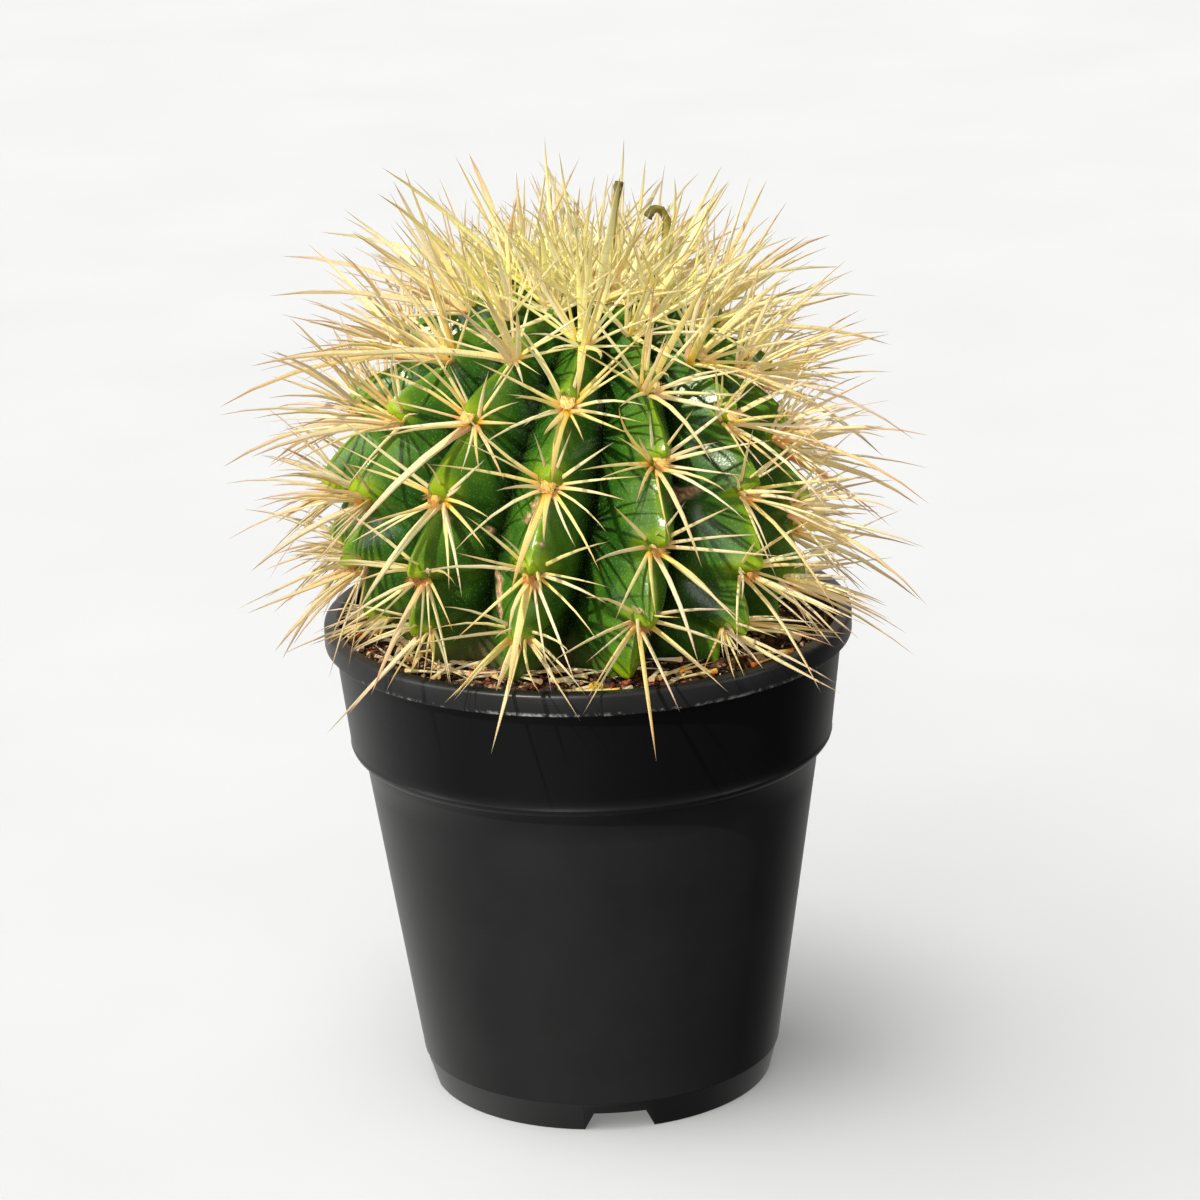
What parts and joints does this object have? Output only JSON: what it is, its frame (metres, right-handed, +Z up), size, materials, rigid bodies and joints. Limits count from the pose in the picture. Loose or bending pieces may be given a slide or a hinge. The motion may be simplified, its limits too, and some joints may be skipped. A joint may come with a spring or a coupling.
{
  "type": "potted golden barrel cactus",
  "caption": "Round ribbed barrel cactus with dense golden spines, growing in a round tapered black plastic nursery pot with a collar, a rolled lip and drain notches.",
  "frame": {"origin": "centre of the pot's foot, on the surface that it stands on", "axes": "+Z up the pot's axis, -Y the plant's front"},
  "size_m": [0.1599, 0.16, 0.2177],
  "materials": {
    "pot": "satin moulded black polypropylene",
    "soil": "rough gritty potting mix of bark, sand and perlite",
    "cactus": "waxy green skin with straw-yellow spines",
    "spines": "dry straw-yellow spines with tan bases and tips",
    "wool": "short felted wool of the areoles and the growing point",
    "dried_flower": "dry brown-green flower remains"
  },
  "bodies": {
    "root": {"pot": "pot", "soil": "soil", "cactus": "cactus", "dried_flower_stalk": "dried_flower", "dried_flower_curl": "dried_flower"}
  },
  "joints": []
}
